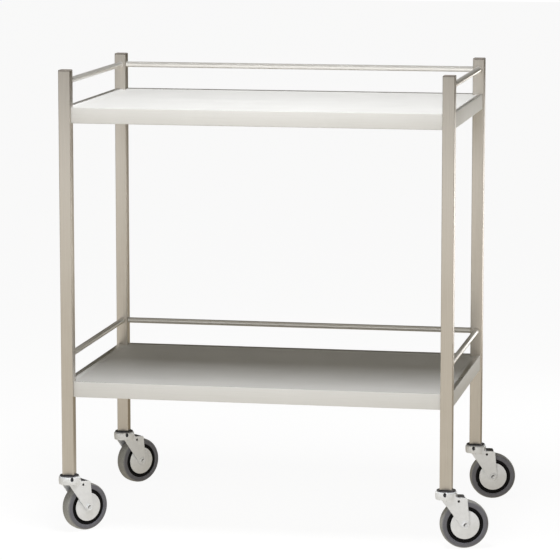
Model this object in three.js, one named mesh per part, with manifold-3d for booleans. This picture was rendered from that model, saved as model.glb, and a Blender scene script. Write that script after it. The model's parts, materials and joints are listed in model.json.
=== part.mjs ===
// Instrument cart: two folded stainless shelves between four square posts, round guard rails on the left,
// back and right above each shelf, and four swivel castors. Millimetres, +Z up, +X to the right, +Y to the back.
// The floor is z = 0, and the origin is the centre of the whole cart's outline on the floor.
import * as THREE from "three";
import { ConvexGeometry } from "three/addons/geometries/ConvexGeometry.js";
import { mergeVertices } from "three/addons/utils/BufferGeometryUtils.js";
import Module from "manifold-3d";

const wasm = await Module();
wasm.setup();

// ---- Driving dimensions ----
const FRAME_WIDTH = 820; // over the posts, left to right
const FRAME_DEPTH = 510; // over the posts, front to back
const CART_HEIGHT = 970; // floor to the top of the post caps
const FIT_GAP = 0.3; // left between pieces that touch

const POST_SIDE = 25;
const POST_WALL = 1.5;
const POST_CORNER_RADIUS = 2.2;
const POST_BOTTOM = 123;
const PLUG_WALL_GAP = 0.3;

const CAP_THICKNESS = 2.2;
const CAP_PLUG_DEPTH = 14;
const CASTOR_PLUG_FLANGE = 1;
const CASTOR_PLUG_LENGTH = 38;

const SHELF_EDGES = { bottom_shelf: 321, top_shelf: 893 }; // height of each shelf's outer top edge
const SHELF_SHEET = 1.5;
const SHELF_SIDE_INSET = 3; // side aprons lie this far inside the posts' outer faces
const SHELF_FRONT_INSET = 6; // front and back aprons, inside the posts' front and back faces
const APRON_HEIGHT = 33;
const APRON_RETURN = 14; // flange folded inwards along the foot of the apron
const BORDER_WIDTH = 20; // raised border that keeps spills on the shelf
const BORDER_RISE = 3;
const EDGE_FOLD = 1.6; // flat width of the fold at the shelf's outer edge

const STIFFENER_WIDTH = 60;
const STIFFENER_HEIGHT = 18;

const RAIL_DIAMETER = 12;
const RAIL_WALL = 1.2;
const RAIL_ABOVE_EDGE = 52.5;

const WHEEL_RADIUS = 50;
const TYRE_HALF_WIDTH = 14;
const TYRE_INNER_RADIUS = 38;
const CASTOR_TRAIL = 37.5; // the axle's distance behind the kingpin
const FORK_HALF_GAP = 15.6; // from the wheel's middle to a leg's inner face
const FORK_SHEET = 2.4;
const CROWN_RADIUS = 22.5;
const CROWN_TOP = 119.4;
const CROWN_SKIRT = 102.5;
const AXLE_RADIUS = 4;
const GUARD_RADIUS = 30.2;

// How far each castor has swung from trailing straight along +X, in degrees about +Z.
const CASTOR_SWING = { front_left: 47, front_right: 18, back_left: 48.5, back_right: 13.5 };

// ---- Materials ----
const material = (color, roughness, metalness) => new THREE.MeshStandardMaterial({ color, roughness, metalness });
const BRUSHED_STEEL = material(0xc9c2b8, 0.38, 1);
const SHELF_STEEL = material(0xd6d3ce, 0.3, 1);
const RAIL_STEEL = material(0xd2cdc6, 0.25, 1);
const ZINC_STEEL = material(0xd9dbd8, 0.35, 1);
const BEARING_STEEL = material(0x8f9093, 0.4, 1);
const CAP_PLASTIC = material(0x6e6760, 0.6, 0);
const PLUG_PLASTIC = material(0x3b3b3d, 0.6, 0);
const RIM_PLASTIC = material(0x151517, 0.5, 0);
const BUSH_PLASTIC = material(0xe8e6de, 0.5, 0);
const TYRE_RUBBER = material(0x6f7076, 0.75, 0);

// ---- Geometry helpers ----
const QUARTER = Math.PI / 2;
const TYRE_SEGMENTS = 32;
const WHEEL_SEGMENTS = 16;
const ROUND_SEGMENTS = 10;

function toSolid(geometry) {
  const bare = geometry.index ? geometry.toNonIndexed() : geometry.clone();
  bare.deleteAttribute("normal");
  bare.deleteAttribute("uv");
  const merged = mergeVertices(bare, 1e-4);
  const vertProperties = new Float32Array(merged.attributes.position.array);
  const triVerts = new Uint32Array(merged.index.array);
  return new wasm.Manifold(new wasm.Mesh({ numProp: 3, vertProperties, triVerts }));
}

function toGeometry(solid) {
  const mesh = solid.getMesh();
  const positions = new Float32Array(mesh.vertProperties);
  const geometry = new THREE.BufferGeometry();
  geometry.setAttribute("position", new THREE.BufferAttribute(positions, 3));
  geometry.setIndex(new THREE.BufferAttribute(new Uint32Array(mesh.triVerts), 1));
  return geometry;
}

// A box between two corners.
function block(x0, x1, y0, y1, z0, z1) {
  const geometry = new THREE.BoxGeometry(x1 - x0, y1 - y0, z1 - z0);
  return geometry.translate((x0 + x1) / 2, (y0 + y1) / 2, (z0 + z1) / 2);
}

// A box centred on the Z axis.
const centredBlock = (width, depth, z0, z1) => block(-width / 2, width / 2, -depth / 2, depth / 2, z0, z1);

// A round bar along Z.
function bar(radius, z0, z1, segments = ROUND_SEGMENTS) {
  const geometry = new THREE.CylinderGeometry(radius, radius, z1 - z0, segments);
  return geometry.rotateX(QUARTER).translate(0, 0, (z0 + z1) / 2);
}

// A body turned about Z from a closed profile of [radius, height] points.
function turned(profile, segments = ROUND_SEGMENTS) {
  const points = profile.map(([radius, height]) => new THREE.Vector2(radius, height));
  const onAxis = profile[0][0] === 0 && profile.at(-1)[0] === 0;
  if (!onAxis) points.push(points[0].clone());
  return new THREE.LatheGeometry(points, segments).rotateX(QUARTER);
}

function roundedSquare(side, radius) {
  const far = side / 2 - radius;
  const shape = new THREE.Shape();
  const corners = [[far, far], [-far, far], [-far, -far], [far, -far]];
  corners.forEach(([x, y], i) => shape.absarc(x, y, radius, i * QUARTER, (i + 1) * QUARTER, false));
  return shape;
}

function extruded(shape, height, curveSegments = 3) {
  return new THREE.ExtrudeGeometry(shape, { depth: height, bevelEnabled: false, curveSegments });
}

function named(name, geometry, finish) {
  const mesh = new THREE.Mesh(geometry, finish);
  mesh.name = name;
  return mesh;
}

// ---- The frame ----
const POST_X = (FRAME_WIDTH - POST_SIDE) / 2;
const POST_Y = (FRAME_DEPTH - POST_SIDE) / 2;
const CORNERS = {
  front_left: [-POST_X, -POST_Y],
  front_right: [POST_X, -POST_Y],
  back_left: [-POST_X, POST_Y],
  back_right: [POST_X, POST_Y],
};
const POST_TOP = CART_HEIGHT - CAP_THICKNESS - FIT_GAP;
const PLUG_SIDE = POST_SIDE - 2 * POST_WALL - 2 * PLUG_WALL_GAP;

function postGeometry() {
  const shape = roundedSquare(POST_SIDE, POST_CORNER_RADIUS);
  shape.holes.push(roundedSquare(POST_SIDE - 2 * POST_WALL, POST_CORNER_RADIUS - POST_WALL));
  return extruded(shape, POST_TOP - POST_BOTTOM).translate(0, 0, POST_BOTTOM);
}

// The cap has a slightly crowned head and a hollow plug that holds it in the tube.
function capGeometry() {
  const head = extruded(roundedSquare(POST_SIDE, POST_CORNER_RADIUS), CAP_THICKNESS / 2);
  head.translate(0, 0, POST_TOP + FIT_GAP);
  const edge = POST_SIDE / 2;
  const crown = edge - 1.2;
  const crownPoints = [-1, 1].flatMap((x) =>
    [-1, 1].flatMap((y) => [
      new THREE.Vector3(x * (edge - 0.6), y * (edge - 0.6), POST_TOP + FIT_GAP + CAP_THICKNESS / 2 - 0.1),
      new THREE.Vector3(x * crown, y * crown, CART_HEIGHT),
    ]),
  );
  const plugBottom = POST_TOP - CAP_PLUG_DEPTH;
  const plug = toSolid(centredBlock(PLUG_SIDE, PLUG_SIDE, plugBottom, POST_TOP + FIT_GAP + 0.5));
  const hollow = toSolid(centredBlock(PLUG_SIDE - 4, PLUG_SIDE - 4, plugBottom - 1, POST_TOP - 1));
  return toGeometry(toSolid(head).add(toSolid(new ConvexGeometry(crownPoints))).add(plug.subtract(hollow)));
}

// The castor's socket: a flange under the post and a square body inside it, bored for the stem.
const PLUG_FLANGE_TOP = POST_BOTTOM - FIT_GAP;
const PLUG_FLANGE_BOTTOM = PLUG_FLANGE_TOP - CASTOR_PLUG_FLANGE;
const STEM_RADIUS = 5;

function castorPlugGeometry() {
  const flange = toSolid(centredBlock(POST_SIDE - 0.6, POST_SIDE - 0.6, PLUG_FLANGE_BOTTOM, PLUG_FLANGE_TOP));
  const top = POST_BOTTOM + CASTOR_PLUG_LENGTH;
  const body = toSolid(centredBlock(PLUG_SIDE, PLUG_SIDE, PLUG_FLANGE_TOP - 0.5, top));
  const bore = toSolid(bar(STEM_RADIUS + FIT_GAP, PLUG_FLANGE_BOTTOM - 1, top + 1));
  return toGeometry(flange.add(body).subtract(bore));
}

// ---- Shelves ----
const SHELF_HALF_WIDTH = FRAME_WIDTH / 2 - SHELF_SIDE_INSET;
const SHELF_HALF_DEPTH = FRAME_DEPTH / 2 - SHELF_FRONT_INSET;

const shelfBlock = (inset, z0, z1) =>
  toSolid(centredBlock(2 * (SHELF_HALF_WIDTH - inset), 2 * (SHELF_HALF_DEPTH - inset), z0, z1));

// The space over the sunk middle of the shelf, its sides sloping out to the raised edge.
function shelfDish(edge) {
  const slope = (BORDER_WIDTH - EDGE_FOLD) / BORDER_RISE;
  const levels = [
    [BORDER_WIDTH, edge - BORDER_RISE],
    [EDGE_FOLD - slope, edge + 1],
  ];
  const points = levels.flatMap(([inset, z]) =>
    [-1, 1].flatMap((x) =>
      [-1, 1].map((y) => new THREE.Vector3(x * (SHELF_HALF_WIDTH - inset), y * (SHELF_HALF_DEPTH - inset), z)),
    ),
  );
  return toSolid(new ConvexGeometry(points));
}

// One folded sheet: sunk top, raised border, aprons and the flanges folded in along their feet.
function shelfGeometry(edge) {
  const foot = edge - APRON_HEIGHT;
  const ceiling = edge - BORDER_RISE - SHELF_SHEET;
  let shelf = shelfBlock(0, foot, edge)
    .subtract(shelfDish(edge))
    .subtract(shelfBlock(SHELF_SHEET, foot + SHELF_SHEET, ceiling))
    .subtract(shelfBlock(APRON_RETURN, foot - 1, foot + SHELF_SHEET + 1));
  const notch = POST_SIDE / 2 + FIT_GAP;
  for (const [x, y] of Object.values(CORNERS)) {
    shelf = shelf.subtract(toSolid(block(x - notch, x + notch, y - notch, y + notch, foot - 1, edge + 1)));
  }
  return toGeometry(shelf);
}

// A folded channel across the underside, front to back.
function stiffenerGeometry(edge) {
  const top = edge - BORDER_RISE - SHELF_SHEET - FIT_GAP;
  const depth = 2 * (SHELF_HALF_DEPTH - SHELF_SHEET - FIT_GAP);
  const channel = toSolid(centredBlock(STIFFENER_WIDTH, depth, top - STIFFENER_HEIGHT, top));
  const inside = STIFFENER_WIDTH - 2 * SHELF_SHEET;
  const hollow = toSolid(centredBlock(inside, depth + 2, top - STIFFENER_HEIGHT + SHELF_SHEET, top + 1));
  return toGeometry(channel.subtract(hollow));
}

// A tube of the given length, lying along Y and centred on the origin.
function railGeometry(length) {
  const ring = new THREE.Shape();
  ring.absarc(0, 0, RAIL_DIAMETER / 2, 0, 2 * Math.PI, false);
  const bore = new THREE.Path();
  bore.absarc(0, 0, RAIL_DIAMETER / 2 - RAIL_WALL, 0, 2 * Math.PI, true);
  ring.holes.push(bore);
  return extruded(ring, length, 10).translate(0, 0, -length / 2).rotateX(QUARTER);
}

function rails(level, edge) {
  const group = new THREE.Group();
  const sideRail = railGeometry(FRAME_DEPTH - 2 * POST_SIDE - 2 * FIT_GAP);
  const backRail = railGeometry(FRAME_WIDTH - 2 * POST_SIDE - 2 * FIT_GAP).rotateZ(QUARTER);
  const left = named(`${level}_rail_left`, sideRail, RAIL_STEEL);
  const right = named(`${level}_rail_right`, sideRail.clone(), RAIL_STEEL);
  const back = named(`${level}_rail_back`, backRail, RAIL_STEEL);
  left.position.x = -POST_X;
  right.position.x = POST_X;
  back.position.y = POST_Y;
  group.add(left, right, back);
  group.position.z = edge + RAIL_ABOVE_EDGE;
  return group;
}

// ---- Castors: drawn with the kingpin on the Z axis and the wheel trailing along +X ----
const STEM_PLATE_BOTTOM = CROWN_TOP + 0.4;
const STEM_PLATE_TOP = PLUG_FLANGE_BOTTOM - FIT_GAP;
const STEM_PLATE_RADIUS = 20;
const KINGPIN_RADIUS = 4;
const CROWN_MOUTH = 15; // radius of the opening for the bearing
const RIVET_TOP = 106;

// Threaded stem, race plate, kingpin and its riveted end.
function stemGeometry() {
  const stemTop = POST_BOTTOM + CASTOR_PLUG_LENGTH;
  return turned([
    [0, RIVET_TOP - 3],
    [7, RIVET_TOP - 3],
    [8, RIVET_TOP - 1],
    [KINGPIN_RADIUS, RIVET_TOP],
    [KINGPIN_RADIUS, STEM_PLATE_BOTTOM],
    [STEM_PLATE_RADIUS, STEM_PLATE_BOTTOM],
    [STEM_PLATE_RADIUS, STEM_PLATE_TOP],
    [STEM_RADIUS, STEM_PLATE_TOP],
    [STEM_RADIUS, stemTop],
    [0, stemTop],
  ], 16);
}

function bearingRingGeometry() {
  const outer = CROWN_MOUTH - FIT_GAP;
  const inner = KINGPIN_RADIUS + 0.5;
  const bottom = RIVET_TOP + 1;
  return turned([
    [inner, bottom],
    [outer, bottom],
    [outer, CROWN_TOP],
    [inner, CROWN_TOP],
  ], 16);
}

// The side of the fork: from the crown down to a round boss at the axle, its back edge nearly upright.
const BOSS_RADIUS = 9;
const LEG_BACK = { x: 41, z: 107 };
const LEG_FRONT = { x: -10, z: 101.5 };
const LEG_CORNER = 4;

// Direction, from the boss centre, of the point where a line from (x, z) touches the boss.
function tangentAngle(x, z, side) {
  const away = Math.atan2(z - WHEEL_RADIUS, x - CASTOR_TRAIL);
  const distance = Math.hypot(x - CASTOR_TRAIL, z - WHEEL_RADIUS);
  return away + side * Math.acos(BOSS_RADIUS / distance);
}

function legGeometry() {
  const shape = new THREE.Shape();
  const front = tangentAngle(LEG_FRONT.x, LEG_FRONT.z, 1);
  const back = tangentAngle(LEG_BACK.x, LEG_BACK.z, -1);
  shape.moveTo(LEG_FRONT.x, LEG_FRONT.z);
  shape.absarc(CASTOR_TRAIL, WHEEL_RADIUS, BOSS_RADIUS, front, back + 2 * Math.PI, false);
  shape.lineTo(LEG_BACK.x + 0.3, LEG_BACK.z - LEG_CORNER);
  shape.quadraticCurveTo(LEG_BACK.x, LEG_BACK.z, LEG_BACK.x - LEG_CORNER, LEG_BACK.z);
  shape.lineTo(CROWN_RADIUS - 4, LEG_BACK.z + 1.5);
  shape.lineTo(CROWN_RADIUS - 7, CROWN_TOP - 4);
  shape.lineTo(LEG_FRONT.x - 3, CROWN_TOP - 4);
  shape.lineTo(LEG_FRONT.x - 3, LEG_FRONT.z + 3);
  const plate = extruded(shape, FORK_SHEET, 4).rotateX(QUARTER);
  return plate.translate(0, FORK_SHEET / 2, 0);
}

function crownGeometry() {
  const wall = FORK_SHEET - 0.4;
  return turned([
    [CROWN_RADIUS - 1, CROWN_SKIRT],
    [CROWN_RADIUS, CROWN_SKIRT + 6],
    [CROWN_RADIUS, CROWN_TOP - 3.6],
    [CROWN_RADIUS - 3, CROWN_TOP],
    [CROWN_MOUTH, CROWN_TOP],
    [CROWN_MOUTH, CROWN_TOP - wall],
    [CROWN_RADIUS - wall, CROWN_TOP - 4.5],
    [CROWN_RADIUS - wall - 1, CROWN_SKIRT],
  ], 20);
}

const BRAKE_HOLE = { x: 23, z: 100.2, radius: 2.3 };
const CROWN_HOLE = { turn: 16, z: 115.2, radius: 3 }; // turned this many degrees from the side to the nose

function forkGeometry() {
  let fork = toSolid(crownGeometry());
  const legMiddle = FORK_HALF_GAP + FORK_SHEET / 2;
  for (const side of [-1, 1]) fork = fork.add(toSolid(legGeometry().translate(0, side * legMiddle, 0)));
  const crossHole = (x, z, radius) => toSolid(bar(radius, -30, 30).rotateX(QUARTER).translate(x, 0, z));
  fork = fork.subtract(crossHole(CASTOR_TRAIL, WHEEL_RADIUS, AXLE_RADIUS + FIT_GAP));
  fork = fork.subtract(crossHole(BRAKE_HOLE.x, BRAKE_HOLE.z, BRAKE_HOLE.radius));
  for (const side of [-1, 1]) {
    const drill = bar(CROWN_HOLE.radius, 17, 30).rotateX(side * QUARTER);
    drill.rotateZ(THREE.MathUtils.degToRad(-side * CROWN_HOLE.turn));
    fork = fork.subtract(toSolid(drill.translate(0, 0, CROWN_HOLE.z)));
  }
  return toGeometry(fork);
}

// A turned piece of the wheel, moved from the Z axis onto the axle.
const onAxle = (geometry) => geometry.rotateX(QUARTER).translate(CASTOR_TRAIL, 0, WHEEL_RADIUS);

// Profiles that are the same on both sides of the wheel's middle. A ring's half runs over its edge from the
// outside to the bore; a bar's half runs from its barrel to the axis.
const flipped = (half) => half.map(([radius, height]) => [radius, -height]).reverse();
const ringProfile = (half) => [...half, ...flipped(half)];
const barProfile = (half) => [...flipped(half), ...half];

function tyreGeometry() {
  const half = [
    [WHEEL_RADIUS, TYRE_HALF_WIDTH - 10],
    [WHEEL_RADIUS - 2, TYRE_HALF_WIDTH - 3],
    [WHEEL_RADIUS - 5, TYRE_HALF_WIDTH],
    [TYRE_INNER_RADIUS, TYRE_HALF_WIDTH - 0.5],
  ];
  return onAxle(turned(ringProfile(half), TYRE_SEGMENTS));
}

const BUSH_RADIUS = 6.5;
const HUB_HALF_WIDTH = 13.5;
const HUB_RADIUS = 11;

function wheelCoreGeometry() {
  const rimRadius = TYRE_INNER_RADIUS - FIT_GAP;
  const half = [
    [rimRadius, 11],
    [GUARD_RADIUS + 1, 11],
    [GUARD_RADIUS - 2, 5],
    [HUB_RADIUS, 5],
    [HUB_RADIUS, HUB_HALF_WIDTH],
    [BUSH_RADIUS + FIT_GAP, HUB_HALF_WIDTH],
  ];
  return onAxle(turned(ringProfile(half), WHEEL_SEGMENTS));
}

function bushGeometry() {
  const half = [[BUSH_RADIUS, HUB_HALF_WIDTH], [AXLE_RADIUS + 0.4, HUB_HALF_WIDTH]];
  return onAxle(turned(ringProfile(half)));
}

// A dished disc between the hub's end and the fork's leg; side is -1 towards the front, 1 towards the back.
function guardGeometry(side) {
  const outerFace = FORK_HALF_GAP - FIT_GAP;
  const disc = turned([
    [AXLE_RADIUS + FIT_GAP, outerFace - 1.4],
    [12, outerFace - 1.4],
    [GUARD_RADIUS, 11.8],
    [GUARD_RADIUS, 12.9],
    [13, outerFace],
    [AXLE_RADIUS + FIT_GAP, outerFace],
  ], WHEEL_SEGMENTS);
  return onAxle(side < 0 ? disc : disc.rotateX(Math.PI));
}

// A tubular rivet: a dished head outside each leg.
function axleGeometry() {
  const seat = FORK_HALF_GAP + FORK_SHEET + FIT_GAP;
  const half = [
    [AXLE_RADIUS, seat],
    [8, seat],
    [7, seat + 2.2],
    [4.6, seat + 2.2],
    [3, seat + 0.6],
    [0, seat + 0.6],
  ];
  return onAxle(turned(barProfile(half), ROUND_SEGMENTS));
}

function castor(corner) {
  const group = new THREE.Group();
  group.add(
    named(`castor_stem_${corner}`, stemGeometry(), ZINC_STEEL),
    named(`castor_bearing_${corner}`, bearingRingGeometry(), BEARING_STEEL),
    named(`castor_fork_${corner}`, forkGeometry(), ZINC_STEEL),
    named(`castor_axle_${corner}`, axleGeometry(), ZINC_STEEL),
    named(`wheel_guard_outer_${corner}`, guardGeometry(-1), ZINC_STEEL),
    named(`wheel_guard_inner_${corner}`, guardGeometry(1), ZINC_STEEL),
    named(`wheel_bush_${corner}`, bushGeometry(), BUSH_PLASTIC),
    named(`wheel_core_${corner}`, wheelCoreGeometry(), RIM_PLASTIC),
    named(`tyre_${corner}`, tyreGeometry(), TYRE_RUBBER),
  );
  group.rotation.z = THREE.MathUtils.degToRad(CASTOR_SWING[corner]);
  return group;
}

// ---- Assembly ----
const cart = new THREE.Group();

for (const [corner, [x, y]] of Object.entries(CORNERS)) {
  const leg = new THREE.Group();
  leg.add(
    named(`post_${corner}`, postGeometry(), BRUSHED_STEEL),
    named(`post_cap_${corner}`, capGeometry(), CAP_PLASTIC),
    named(`castor_plug_${corner}`, castorPlugGeometry(), PLUG_PLASTIC),
    castor(corner),
  );
  leg.position.set(x, y, 0);
  cart.add(leg);
}

for (const [shelf, edge] of Object.entries(SHELF_EDGES)) {
  cart.add(named(shelf, shelfGeometry(edge), SHELF_STEEL));
  cart.add(named(`${shelf}_stiffener`, stiffenerGeometry(edge), SHELF_STEEL));
  cart.add(rails(shelf.replace("_shelf", ""), edge));
}

// The castors trail to one side, so the whole outline's centre isn't the centre of the posts.
const outline = new THREE.Box3().setFromObject(cart, true);
const middle = outline.getCenter(new THREE.Vector3());
cart.position.set(-middle.x, -middle.y, 0);

export default cart;
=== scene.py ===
"""Looks of the instrument cart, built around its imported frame.

Metres, with +Z up, +X to the right and +Y to the back.
"""

import json
import logging
import math
from contextlib import contextmanager
from dataclasses import dataclass, field
from enum import Enum
from typing import Callable, Iterator, Sequence

import bmesh
import bpy
from mathutils import Euler, Matrix, Vector


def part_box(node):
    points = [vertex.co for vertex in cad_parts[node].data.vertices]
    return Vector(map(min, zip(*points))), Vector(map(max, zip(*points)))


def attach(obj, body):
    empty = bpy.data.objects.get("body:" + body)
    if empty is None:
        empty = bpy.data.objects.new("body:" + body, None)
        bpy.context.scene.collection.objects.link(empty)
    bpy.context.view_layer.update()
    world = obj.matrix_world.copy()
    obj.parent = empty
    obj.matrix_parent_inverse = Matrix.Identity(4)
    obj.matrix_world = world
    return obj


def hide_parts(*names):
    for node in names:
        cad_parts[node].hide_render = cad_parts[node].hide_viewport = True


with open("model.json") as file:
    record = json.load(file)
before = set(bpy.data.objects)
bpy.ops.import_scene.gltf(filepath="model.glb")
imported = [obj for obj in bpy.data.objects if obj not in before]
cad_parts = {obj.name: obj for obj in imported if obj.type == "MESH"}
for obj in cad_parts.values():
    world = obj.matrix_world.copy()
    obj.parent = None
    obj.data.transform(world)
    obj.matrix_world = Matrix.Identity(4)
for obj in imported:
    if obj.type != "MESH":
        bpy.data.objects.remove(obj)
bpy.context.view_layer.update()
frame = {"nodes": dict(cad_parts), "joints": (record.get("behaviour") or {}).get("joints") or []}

logging.basicConfig(level=logging.INFO, format="%(levelname)s %(message)s")
LOG = logging.getLogger("cart")

MM = 0.001
FULL_TURN = 2 * math.pi
GAP = 0.3 * MM  # left between pieces that touch
SAME = 0.001 * MM  # places closer than this are one place
FACING = 0.9  # how far a normal leans along an axis where its face counts as facing that way
SMOOTH_BELOW = math.radians(32)
EVEN = (1, 1, 1)  # the stretch of a pattern that is as dense along X as along Y and Z
LAYER_STRENGTH = 0.6  # how much each finer layer of a noise adds

Point = tuple[float, float]
Place = tuple[float, float, float]
Rounded = tuple[float, float, float]
Colour = tuple[float, float, float]
Shade = Colour | bpy.types.NodeSocket


class Corner(Enum):
    """The four corners of the cart."""

    FRONT_LEFT = "front_left"
    FRONT_RIGHT = "front_right"
    BACK_LEFT = "back_left"
    BACK_RIGHT = "back_right"


class Level(Enum):
    """The two shelves, each with its rails."""

    BOTTOM = "bottom"
    TOP = "top"


class Side(Enum):
    """The sides that have a guard rail."""

    LEFT = "left"
    RIGHT = "right"
    BACK = "back"


class Element(Enum):
    """What an edit-mode selection picks."""

    VERTEX = "VERT"
    EDGE = "EDGE"
    FACE = "FACE"


class Grain(Enum):
    """The way the polishing belt ran, as the stretch of its pattern along X, Y and Z."""

    ALONG_X = (1.0, 60.0, 60.0)
    ALONG_Y = (60.0, 1.0, 60.0)
    ALONG_Z = (60.0, 60.0, 1.0)


# ---- Shapes drawn as points ----


def arc(centre: Point, radius: float, start: float, end: float, steps: int) -> list[Point]:
    """Points along a circle.

    Args:
        centre: Middle of the circle.
        radius: Its radius.
        start: Angle of the first point, in radians.
        end: Angle of the last point, in radians.
        steps: How many chords the arc has.

    Returns:
        The points, both ends included.
    """
    turns = (start + (end - start) * i / steps for i in range(steps + 1))
    return [(centre[0] + radius * math.cos(a), centre[1] + radius * math.sin(a)) for a in turns]


def rounded(corners: Sequence[Rounded], closed: bool = False, steps: int = 5) -> list[Point]:
    """Rounds the corners of a profile.

    Args:
        corners: Points with the radius that each corner gets; 0 keeps it sharp.
        closed: Whether the last corner joins the first.
        steps: How many chords a rounded corner has.

    Returns:
        The profile's points, with the first repeated at the end where it is closed.
    """
    points: list[Point] = []
    count = len(corners)
    for i, (u, v, radius) in enumerate(corners):
        if radius <= 0 or (not closed and i in (0, count - 1)):
            points.append((u, v))
            continue
        here = Vector((u, v))
        before = (Vector(corners[i - 1][:2]) - here).normalized()
        after = (Vector(corners[(i + 1) % count][:2]) - here).normalized()
        half = before.angle(after) / 2
        centre = here + (before + after).normalized() * (radius / math.sin(half))
        first = here + before * (radius / math.tan(half)) - centre
        last = here + after * (radius / math.tan(half)) - centre
        start = math.atan2(first.y, first.x)
        sweep = (math.atan2(last.y, last.x) - start + math.pi) % FULL_TURN - math.pi
        points += arc((centre.x, centre.y), radius, start, start + sweep, steps)
    return points + points[:1] if closed else points


def mirrored(half: Sequence[Rounded]) -> list[Rounded]:
    """The given half of a closed profile, followed by its mirror image in height."""
    return [*half, *((u, -v, r) for u, v, r in reversed(half))]


# ---- The bench ----


def clear_bench() -> None:
    """Leaves nothing selected, so that an operator acts on one piece only."""
    bpy.ops.object.select_all(action="DESELECT")


def middle(edge: bmesh.types.BMEdge) -> Vector:
    """The middle of an edge."""
    return (edge.verts[0].co + edge.verts[1].co) / 2


def is_upright(edge: bmesh.types.BMEdge) -> bool:
    """Whether an edge stands on end."""
    return abs(edge.verts[0].co.z - edge.verts[1].co.z) > MM


def is_level(edge: bmesh.types.BMEdge) -> bool:
    """Whether an edge lies level."""
    return abs(edge.verts[0].co.z - edge.verts[1].co.z) < SAME


def inset_of(place: Vector, low: Vector, high: Vector) -> float:
    """How far a place lies in from the nearest side of a box, seen from above."""
    return min(place.x - low.x, high.x - place.x, place.y - low.y, high.y - place.y)


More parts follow.
